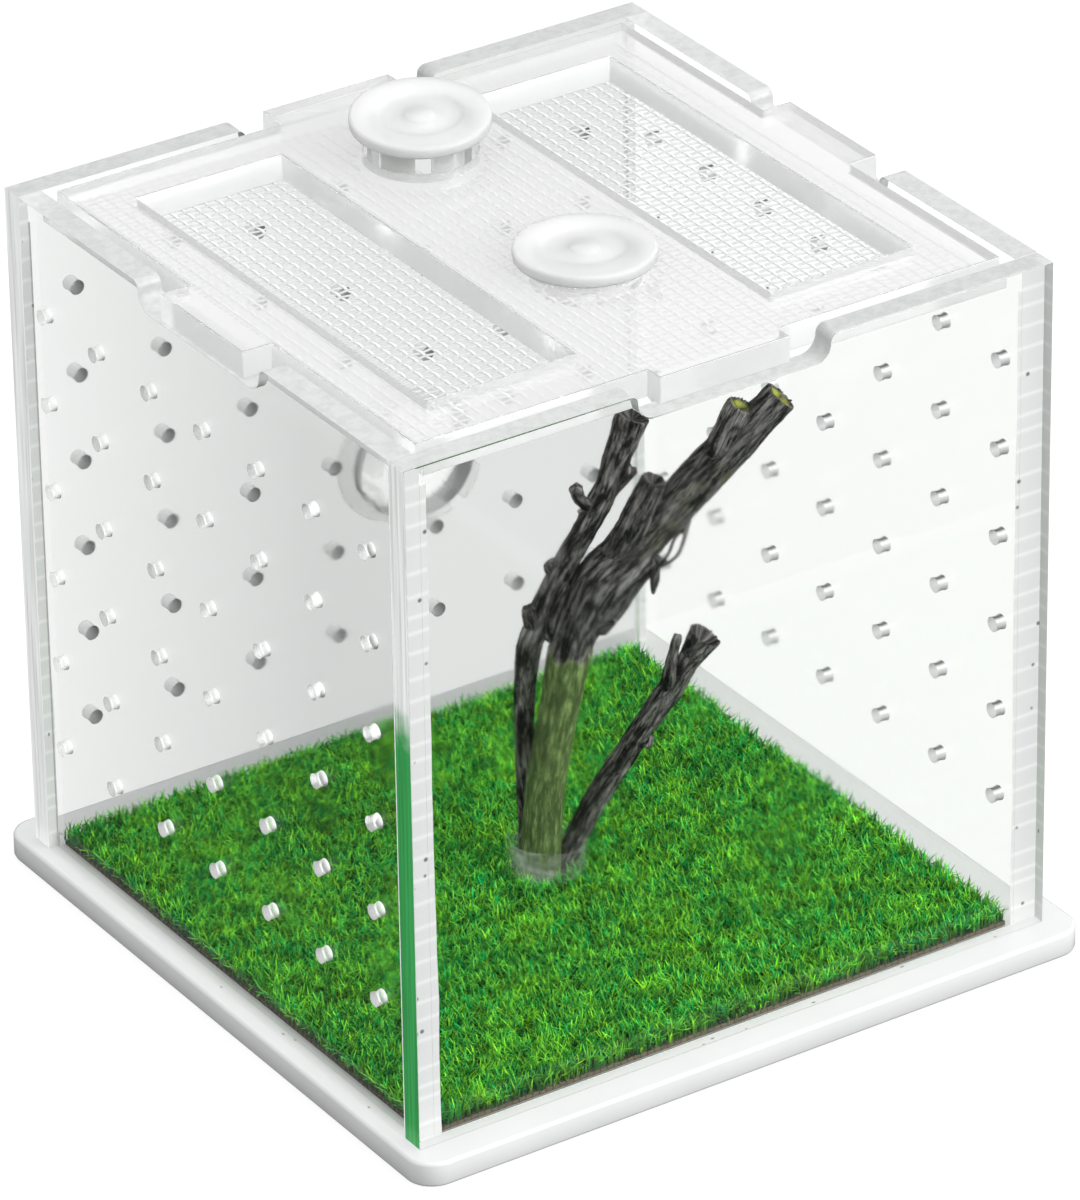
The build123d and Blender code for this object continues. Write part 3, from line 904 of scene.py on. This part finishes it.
# Each point is: distance along the branch's plane, height above the base, distance behind the
# plane, and the stem's radius there, in millimetres.
STEMS = {
    "trunk": [
        (-1.2, 1.8, 0.0, 2.6), (-0.5, 14.0, 0.0, 2.4), (1.1, 25.0, 0.0, 2.4), (2.6, 33.5, 0.0, 2.5),
        (3.9, 41.0, 0.0, 2.8), (6.3, 48.0, 0.0, 3.5), (9.3, 54.0, 0.0, 3.6), (14.6, 59.3, 0.2, 3.2),
        (19.8, 65.0, 0.6, 3.1), (24.1, 70.0, 1.0, 3.1), (28.3, 74.4, 1.4, 2.9),
        (32.0, 78.4, 1.8, 2.6), (35.8, 82.4, 2.2, 2.4),
    ],
    "second_limb": [
        (24.8, 70.5, 1.0, 2.0), (26.2, 73.6, 0.6, 2.0), (27.7, 77.8, 0.2, 1.9),
        (29.8, 82.2, 0.0, 1.8),
    ],
    "stub": [
        (10.0, 55.6, 0.0, 2.4), (12.9, 61.4, -1.4, 2.2), (15.0, 66.8, -2.2, 2.0),
        (16.8, 71.0, -2.6, 1.8),
    ],
    "swelling": [
        (7.4, 45.4, -0.5, 2.2), (9.8, 49.5, -0.5, 2.8), (12.2, 53.5, -0.3, 2.8),
        (15.5, 57.5, 0.0, 2.8),
    ],
    "rootlet": [
        (22.0, 64.0, -1.4, 0.4), (21.1, 60.8, -2.4, 0.34), (20.2, 58.5, -2.8, 0.32),
        (18.7, 57.0, -2.8, 0.32), (17.3, 56.2, -2.7, 0.35), (16.7, 54.1, -2.6, 0.8),
        (16.4, 51.6, -2.6, 0.3),
    ],
    "second_rootlet": [
        (21.7, 62.9, -1.6, 0.34), (19.8, 61.2, -2.6, 0.3), (18.8, 58.8, -3.0, 0.3),
        (17.5, 56.6, -2.8, 0.3),
    ],
    "spike": [(8.5, 45.7, -2.0, 1.0), (9.7, 46.5, -2.6, 0.7), (10.8, 47.3, -3.0, 0.4)],
    "thorn": [(11.4, 49.8, -1.0, 0.9), (13.6, 51.7, -1.5, 0.7), (14.0, 52.9, -1.8, 0.5)],
    "left": [
        (-3.0, 1.8, 3.6, 1.15), (-3.2, 14.4, 3.4, 1.2), (-3.2, 25.0, 3.1, 1.3),
        (-3.0, 33.6, 2.6, 1.4), (-2.4, 40.6, 1.6, 1.8), (-0.6, 45.4, 1.0, 1.9),
        (1.2, 50.8, 0.6, 1.6), (3.9, 56.6, 0.4, 1.6), (6.7, 62.4, 0.0, 1.7), (9.5, 68.1, 0.0, 1.7),
        (11.5, 74.2, 0.0, 1.9), (13.7, 80.7, 0.0, 2.4),
    ],
    "shoulder": [
        (1.3, 42.3, 0.6, 0.9), (1.0, 45.4, 0.6, 1.5), (1.9, 49.3, 0.4, 1.7), (2.9, 52.2, 0.4, 1.6),
    ],
    "knob": [(-1.3, 45.4, 0.9, 1.7), (-1.9, 47.4, 0.8, 1.5)],
    "upper_knob": [(1.9, 53.8, 0.9, 1.3), (0.9, 55.2, 0.8, 0.9)],
    "hook": [
        (8.8, 66.0, 0.0, 0.9), (6.9, 65.9, -0.6, 0.8), (5.6, 67.2, -1.3, 0.7),
        (5.0, 69.5, -1.8, 0.95),
    ],
    "snag": [(10.2, 67.6, 0.0, 0.9), (12.4, 70.0, 0.0, 0.7), (13.8, 71.5, 0.0, 0.5)],
    "twig": [(6.8, 65.7, 0.0, 0.5), (5.8, 65.0, -0.6, 0.4), (5.3, 64.7, -0.9, 0.35)],
    "fork": [(12.4, 70.2, 0.0, 0.7), (12.6, 72.2, -0.4, 0.5)],
    "right": [
        (2.7, 1.8, 3.5, 1.6), (7.0, 12.1, 3.2, 1.6), (11.7, 20.3, 2.6, 1.6), (15.9, 27.7, 2.2, 1.6),
        (19.2, 33.3, 2.0, 1.7), (21.6, 37.5, 2.0, 1.6), (23.9, 41.2, 2.0, 2.0),
    ],
    "splinter": [
        (18.3, 32.8, 1.6, 0.9), (18.8, 36.5, 0.2, 0.8), (19.4, 40.0, -0.2, 0.7),
        (20.1, 43.2, -0.4, 0.5),
    ],
    "lump": [(15.0, 23.6, 1.6, 1.2), (15.7, 24.8, 1.3, 0.7)],
    "lip": [(22.4, 38.8, 2.0, 1.7), (24.3, 41.9, 2.0, 2.6)],
}
STICKS = {
    "main_branch": (
        "trunk", "second_limb", "stub", "rootlet", "second_rootlet", "swelling", "spike", "thorn"
    ),
    "left_stick": ("left", "hook", "snag", "shoulder", "knob", "upper_knob", "twig", "fork"),
    "right_stick": ("right", "splinter", "lump", "lip"),
}
# Stems with a sawn end, those whose sawn end is green, and those that are smooth and thin
CUT_STEMS = ("trunk", "second_limb", "stub", "left", "lip")
GREEN_CUTS = ("trunk", "second_limb")
THIN_STEMS = ("rootlet", "second_rootlet", "spike", "thorn", "twig")
# The way that the mossy side of the right limb faces
MOSS_SIDE = (0.35, -0.65, -0.6)
BASE_THICKNESS = 4


def on_branch(along, height, behind):
    """A place given in the branch's own plane, in millimetres, as a point of the frame."""
    plane_x = Vector((cos(HEADING), sin(HEADING), 0))
    plane_y = Vector((-sin(HEADING), cos(HEADING), 0))
    return FOOT + (plane_x * along + plane_y * behind + Vector((0, 0, height))) * MM


def stem_samples(points, step=0.6 * MM):
    """Points with their radius, evenly close along a smooth line through a stem's points."""
    keys = [(on_branch(*point[:3]), point[3] * MM) for point in points]
    keys = [keys[0], *keys, keys[-1]]
    samples = []
    for (p0, r0), (p1, r1), (p2, r2), (p3, r3) in zip(keys, keys[1:], keys[2:], keys[3:]):
        count = max(2, int((p2 - p1).length / step))
        for index in range(count):
            t = index / count
            weights = (
                -0.5 * t**3 + t**2 - 0.5 * t,
                1.5 * t**3 - 2.5 * t**2 + 1,
                -1.5 * t**3 + 2 * t**2 + 0.5 * t,
                0.5 * t**3 - 0.5 * t**2,
            )
            middle = sum((p * w for p, w in zip((p0, p1, p2, p3), weights)), Vector((0, 0, 0)))
            samples.append((middle, r1 + (r2 - r1) * t))
    samples.append(keys[-1])
    return samples


def stem_frames(samples):
    """For each sample its middle, radius, the stem's run, and two directions square to the run."""
    sideways = Vector((-sin(HEADING), cos(HEADING), 0))
    frames = []
    for index, (middle, radius) in enumerate(samples):
        before = samples[max(index - 1, 0)][0]
        after = samples[min(index + 1, len(samples) - 1)][0]
        run = (after - before).normalized()
        first = (sideways - run * sideways.dot(run)).normalized()
        frames.append((middle, radius, run, first, run.cross(first)))
    return frames


def add_tube(bm, frames, sides=20):
    """Rings along a stem, bridged in pairs and closed at both ends."""
    before = None
    start = set(bm.edges)
    for middle, radius, run, first, second in frames:
        turn = Matrix((first, second, run)).transposed().to_4x4()
        ring = bmesh.ops.create_circle(
            bm, cap_ends=False, segments=sides, radius=radius, matrix=Matrix.Translation(middle) @ turn
        )["verts"]
        edges = list({edge for vert in ring for edge in vert.link_edges})
        if before:
            bmesh.ops.bridge_loops(bm, edges=before + edges)
        before = edges
    tube = [edge for edge in bm.edges if edge not in start]
    bmesh.ops.holes_fill(bm, edges=[edge for edge in tube if edge.is_boundary], sides=sides)


def joined_mesh(bm, voxel):
    """One closed skin round tubes that run into each other."""
    bmesh.ops.recalc_face_normals(bm, faces=bm.faces)
    mesh = mesh_of(bm, "tubes")
    carrier = add_object("tubes", mesh)
    remesh = carrier.modifiers.new("Remesh", "REMESH")
    remesh.mode = "VOXEL"
    remesh.voxel_size = voxel
    smooth = carrier.modifiers.new("Smooth", "SMOOTH")
    smooth.iterations = 3
    graph = bpy.context.evaluated_depsgraph_get()
    skin = bpy.data.meshes.new_from_object(carrier.evaluated_get(graph))
    bpy.data.objects.remove(carrier)
    bpy.data.meshes.remove(mesh)
    return skin


def dots(first, second):
    """The dot product of each pair of rows."""
    return np.einsum("ij,ij->i", first, second)


def grain_of(verts, stems):
    """For each vertex: its place unrolled along the nearest stem, which stem that is, and its share of
    the stem's radius and of its length."""
    # Each stem's grain starts farther along, so that no two stems have the same bark.
    apart = 0.2
    rows = []
    for number, frames in enumerate(stems):
        length = 0.0
        last = frames[0][0]
        for index, (middle, radius, run, first, second) in enumerate(frames):
            length += (middle - last).length
            last = middle
            left = index / (len(frames) - 1)
            rows.append((*middle, radius, *run, *first, *second, length + number * apart, number, left))
    table = np.array(rows)
    places = np.array(verts)
    offset = places[:, None, :] - table[None, :, 0:3]
    distance = np.linalg.norm(offset, axis=2)
    chosen = table[np.argmin(distance - table[None, :, 3], axis=1)]
    arm = places - chosen[:, 0:3]
    along, u, v = (dots(arm, chosen[:, start:start + 3]) for start in (4, 7, 10))
    radius = chosen[:, 3]
    spread = np.maximum(np.hypot(u, v), 1e-7)
    grain = np.stack([u / spread * radius, v / spread * radius, chosen[:, 13] + along], axis=1)
    return grain, chosen[:, 14].astype(int), spread / radius, chosen[:, 15]


def smooth_step(low, high, value):
    t = np.clip((value - low) / (high - low), 0, 1)
    return t * t * (3 - 2 * t)


def bark_zones(names, stems, places, normals, unrolled):
    """Each vertex's share of bare wood, of moss, of a cut's green rim, and of a cut."""
    grain, which, share, run_share = unrolled

    def on_one_of(some):
        return np.array([name in some for name in names])[which]

    runs = np.array([stems[number][-1][2][:] for number in which])
    at_end = (run_share > 0.98) & (dots(normals, runs) > 0.6)
    at_cut = np.where(on_one_of(CUT_STEMS) & at_end, 1.0, 0.0)
    heights = np.array([co.z for co in places]) / MM - BASE_THICKNESS
    trunk = on_one_of(("trunk", "swelling"))
    torn = np.array([1.6 * noise.noise(Vector(point) / (1.6 * MM)) for point in grain * (1, 1, 0.3)])
    bare = np.where(trunk, 1 - smooth_step(40.2, 40.8, heights + torn), 0.0)
    sunny = smooth_step(-0.3, 0.5, dots(normals, np.array([MOSS_SIDE])))
    mossy = smooth_step(56, 62, heights) * (1 - smooth_step(70, 76, heights)) * sunny
    moss = np.where(trunk, mossy, 0.0)
    ring = (1 - smooth_step(0.7, 0.85, share)) * (0.4 + 0.6 * smooth_step(0.2, 0.5, share))
    return bare, moss, at_cut * on_one_of(GREEN_CUTS) * ring, at_cut


def bark_relief(point, settings, bare):
    """How far the bark stands out at a place of its grain: ridges drawn out along the stem, fine
    cracks, and slow knots, all calmer on bare wood."""
    ridges = Vector((point.x, point.y, point.z * 0.2)) / (1.1 * MM)
    cracks = Vector((point.x, point.y, point.z * 0.3)) / (0.5 * MM)
    height = noise.fractal(ridges, 0.8, 2.0, 4) + 0.4 * noise.noise(cracks)
    knots = noise.noise(point / (6 * MM))
    return settings.relief * (1 - 0.55 * bare) * (0.6 * height + 0.5 * knots)


def build_branch(settings):
    bark = weathered_bark("Weathered twig bark", settings)
    for node, names in STICKS.items():
        stems = [stem_frames(stem_samples(STEMS[name])) for name in names]
        bm = bmesh.new()
        for frames in stems:
            add_tube(bm, frames)
        skin = joined_mesh(bm, settings.voxel)
        bm = bmesh.new()
        bm.from_mesh(skin)
        bpy.data.meshes.remove(skin)
        bm.normal_update()
        places = [vert.co.copy() for vert in bm.verts]
        normals = np.array([vert.normal[:] for vert in bm.verts])
        unrolled = grain_of(places, stems)
        bare, moss, rim, at_cut = bark_zones(names, stems, places, normals, unrolled)
        grain, which, share, _ = unrolled
        grain_layer = bm.verts.layers.float_vector.new("grain")
        zone_layer = bm.verts.layers.float_color.new("zones")
        for index, vert in enumerate(bm.verts):
            name = names[which[index]]
            point = Vector(grain[index])
            vert[grain_layer] = point
            vert[zone_layer] = (bare[index], moss[index], rim[index], 1)
            depth = settings.hollow * (2 if name == "lip" else 1)
            hollow = depth * at_cut[index] * max(0.0, 1 - share[index] ** 2)
            cover = settings.bark_thickness + (settings.fullness - settings.bark_thickness) * bare[index]
            rise = 0.0 if name in THIN_STEMS else bark_relief(point, settings, bare[index]) + cover
            vert.co = vert.co + vert.normal * ((1 - at_cut[index]) * rise - hollow)
        shade_smooth(bm)
        finish_piece(bm, f"{node}_wood", "enclosure", (bark,), [node])


def build_foot(settings):
    """The clear cup that the sticks stand in, and the band that ties them."""
    film = soft_vinyl("Clear soft vinyl", settings.film)
    for node, name in (("branch_cup", "foot_cup"), ("branch_band", "foot_band")):
        bm = merged_copy(node)
        shade_smooth(bm)
        piece = finish_piece(bm, name, "enclosure", (film,), [node])
        piece.data.set_sharp_from_angle(angle=radians(40))


# Stage

CAMERA_PLACE = Vector((-0.62097, -0.95181, 0.68144))
CAMERA_AZIMUTH = radians(-33.164)
CAMERA_ELEVATION = radians(28.967)
CAMERA_ROLL = radians(-0.897)
CAMERA_LENS = 258.73
# The enclosure's middle, which the lamps face
MIDDLE = Vector((0, 0, 0.06))


def add_camera():
    """The camera stands at the near left, far off, and looks down at the enclosure."""
    azimuth, elevation, roll = CAMERA_AZIMUTH, CAMERA_ELEVATION, CAMERA_ROLL
    back = Vector((sin(azimuth) * cos(elevation), -cos(azimuth) * cos(elevation), sin(elevation)))
    level = Vector((0, 0, 1)).cross(back).normalized()
    upright = back.cross(level)
    right = level * cos(roll) + upright * sin(roll)
    up = upright * cos(roll) - level * sin(roll)
    data = bpy.data.cameras.new("camera")
    data.lens = CAMERA_LENS
    camera = add_object("camera", data)
    turn = Matrix((right, up, back)).transposed().to_4x4()
    camera.matrix_world = Matrix.Translation(CAMERA_PLACE) @ turn
    bpy.context.scene.camera = camera


def seen_rays(tree, path):
    """1 for rays that show the background, straight or through sheets, and 0 for rays that light or
    that a sheet has mirrored."""
    seen = calculate(tree, "MAXIMUM", path["Is Camera Ray"], path["Is Transmission Ray"])
    return product(tree, seen, calculate(tree, "LESS_THAN", path["Glossy Depth"], 0.5))


def add_floor(settings):
    """A pale floor that keeps the enclosure's soft shadow and is otherwise white to the eye."""
    colour = settings.floor_tone
    material, tree = new_material("White floor paper", colour)
    tooth = bumps(tree, spots(tree, object_place(tree), 2), 0.02, 0.05)
    path = add_node(tree, "ShaderNodeLightPath").outputs
    # A darker floor in reflections keeps the sheets from veiling what they shut in.
    tone = blend(tree, path["Is Glossy Ray"], colour, [part * 0.3 for part in colour])
    paper = add_node(tree, "ShaderNodeBsdfDiffuse", {"Color": tone, "Normal": tooth})
    height = ramp(tree, path["Is Transmission Ray"], 0.0, 1.0, settings.floor_lift, settings.through_lift)
    glow = add_node(tree, "ShaderNodeEmission", {"Strength": product(tree, height, seen_rays(tree, path))})
    both = add_node(tree, "ShaderNodeAddShader", {0: paper.outputs[0], 1: glow.outputs[0]})
    show(tree, both.outputs[0])
    bm = bmesh.new()
    bmesh.ops.create_grid(bm, x_segments=1, y_segments=1, size=settings.floor_size / 2)
    mesh = mesh_of(bm, "floor")
    mesh.materials.append(material)
    floor = add_object("floor", mesh)


def add_lamp(name, place, size, power):
    """A soft square lamp that faces the enclosure's middle."""
    data = bpy.data.lights.new(name, "AREA")
    data.shape = "SQUARE"
    data.size = size
    data.energy = power
    lamp = add_object(name, data)
    lamp.location = place
    lamp.rotation_mode = "QUATERNION"
    lamp.rotation_quaternion = (Vector(place) - MIDDLE).to_track_quat("Z", "Y")


def set_world(settings):
    """A white surround to the eye, which lights the enclosure at a plain level."""
    world = bpy.data.worlds.new("studio")
    bpy.context.scene.world = world
    world.use_nodes = True
    tree = world.node_tree
    tree.nodes.clear()
    path = add_node(tree, "ShaderNodeLightPath").outputs
    unseen = ramp(tree, path["Glossy Depth"], 0.0, 1.0, settings.fill, settings.sheen)
    level = ramp(tree, seen_rays(tree, path), 0.0, 1.0, unseen, settings.backdrop)
    light = add_node(tree, "ShaderNodeBackground", {"Color": grey(1), "Strength": level})
    add_node(tree, "ShaderNodeOutputWorld", {"Surface": light.outputs[0]})


def set_stage(settings):
    """The view, enough bounces for sheets one behind another, and all that stands round the part."""
    scene = bpy.context.scene
    scene.view_settings.view_transform = "Standard"
    scene.cycles.max_bounces = 40
    scene.cycles.transmission_bounces = 24
    scene.cycles.transparent_max_bounces = 48
    scene.cycles.diffuse_bounces = 4
    scene.cycles.glossy_bounces = 24
    add_camera()
    add_floor(settings)
    set_world(settings)
    add_lamp("key", (0.85, -1.35, 0.85), 1.1, settings.key_power)
    add_lamp("overhead", (0.1, 0.2, 1.5), 1.4, settings.top_power)


# Operators and panel

class ENCLOSURE_OT_base(bpy.types.Operator):
    """Dress the base plate"""
    bl_idname = "enclosure.base"
    bl_label = "Base plate"

    def execute(self, context):
        build_base(context.scene.enclosure_sheets)
        return {"FINISHED"}


class ENCLOSURE_OT_walls(bpy.types.Operator):
    """Dress the four walls with their vents, edges and joints"""
    bl_idname = "enclosure.walls"
    bl_label = "Walls"

    def execute(self, context):
        build_walls(context.scene.enclosure_sheets)
        return {"FINISHED"}


class ENCLOSURE_OT_lid(bpy.types.Operator):
    """Dress the lid plate"""
    bl_idname = "enclosure.lid"
    bl_label = "Lid plate"

    def execute(self, context):
        build_lid(context.scene.enclosure_sheets)
        return {"FINISHED"}


class ENCLOSURE_OT_screen(bpy.types.Operator):
    """Weave the screen under the lid"""
    bl_idname = "enclosure.screen"
    bl_label = "Lid screen"

    def execute(self, context):
        build_screen(context.scene.enclosure_screen)
        return {"FINISHED"}


class ENCLOSURE_OT_plugs(bpy.types.Operator):
    """Dress the three port plugs"""
    bl_idname = "enclosure.plugs"
    bl_label = "Port plugs"

    def execute(self, context):
        build_plugs(context.scene.enclosure_plugs_look)
        return {"FINISHED"}


class ENCLOSURE_OT_turf(bpy.types.Operator):
    """Grow the turf mat"""
    bl_idname = "enclosure.turf"
    bl_label = "Turf mat"

    def execute(self, context):
        build_turf(context.scene.enclosure_turf)
        return {"FINISHED"}


class ENCLOSURE_OT_branch(bpy.types.Operator):
    """Model the branch with its bark, and the cup and band at its foot"""
    bl_idname = "enclosure.branch"
    bl_label = "Branch"

    def execute(self, context):
        build_branch(context.scene.enclosure_branch)
        build_foot(context.scene.enclosure_branch)
        return {"FINISHED"}


class ENCLOSURE_OT_stage(bpy.types.Operator):
    """Set the floor, lamps, surround and camera"""
    bl_idname = "enclosure.stage"
    bl_label = "Stage"

    def execute(self, context):
        set_stage(context.scene.enclosure_stage)
        return {"FINISHED"}


class ENCLOSURE_PT_panel(bpy.types.Panel):
    """Settings and steps of the enclosure"""
    bl_idname = "ENCLOSURE_PT_panel"
    bl_label = "Enclosure"
    bl_space_type = "VIEW_3D"
    bl_region_type = "UI"
    bl_category = "Enclosure"

    def draw(self, context):
        for name, group in SETTINGS.items():
            box = self.layout.box()
            for field in group.__annotations__:
                box.prop(getattr(context.scene, name), field)
        for step in STEPS:
            self.layout.operator(step.bl_idname)


SETTINGS = {
    "enclosure_sheets": SheetSettings,
    "enclosure_screen": ScreenSettings,
    "enclosure_plugs_look": PlugSettings,
    "enclosure_turf": TurfSettings,
    "enclosure_branch": BranchSettings,
    "enclosure_stage": StageSettings,
}
STEPS = (
    ENCLOSURE_OT_stage,
    ENCLOSURE_OT_base,
    ENCLOSURE_OT_walls,
    ENCLOSURE_OT_lid,
    ENCLOSURE_OT_screen,
    ENCLOSURE_OT_plugs,
    ENCLOSURE_OT_turf,
    ENCLOSURE_OT_branch,
)


def register():
    for name, group in SETTINGS.items():
        bpy.utils.register_class(group)
        setattr(bpy.types.Scene, name, PointerProperty(type=group))
    for item in (*STEPS, ENCLOSURE_PT_panel):
        bpy.utils.register_class(item)


def unregister():
    for item in reversed((*STEPS, ENCLOSURE_PT_panel)):
        bpy.utils.unregister_class(item)
    for name, group in reversed(SETTINGS.items()):
        delattr(bpy.types.Scene, name)
        bpy.utils.unregister_class(group)


def main():
    register()
    bpy.ops.enclosure.stage()
    bpy.ops.enclosure.base()
    bpy.ops.enclosure.walls()
    bpy.ops.enclosure.lid()
    bpy.ops.enclosure.screen()
    bpy.ops.enclosure.plugs()
    bpy.ops.enclosure.turf()
    bpy.ops.enclosure.branch()


if __name__ == "__main__":
    main()
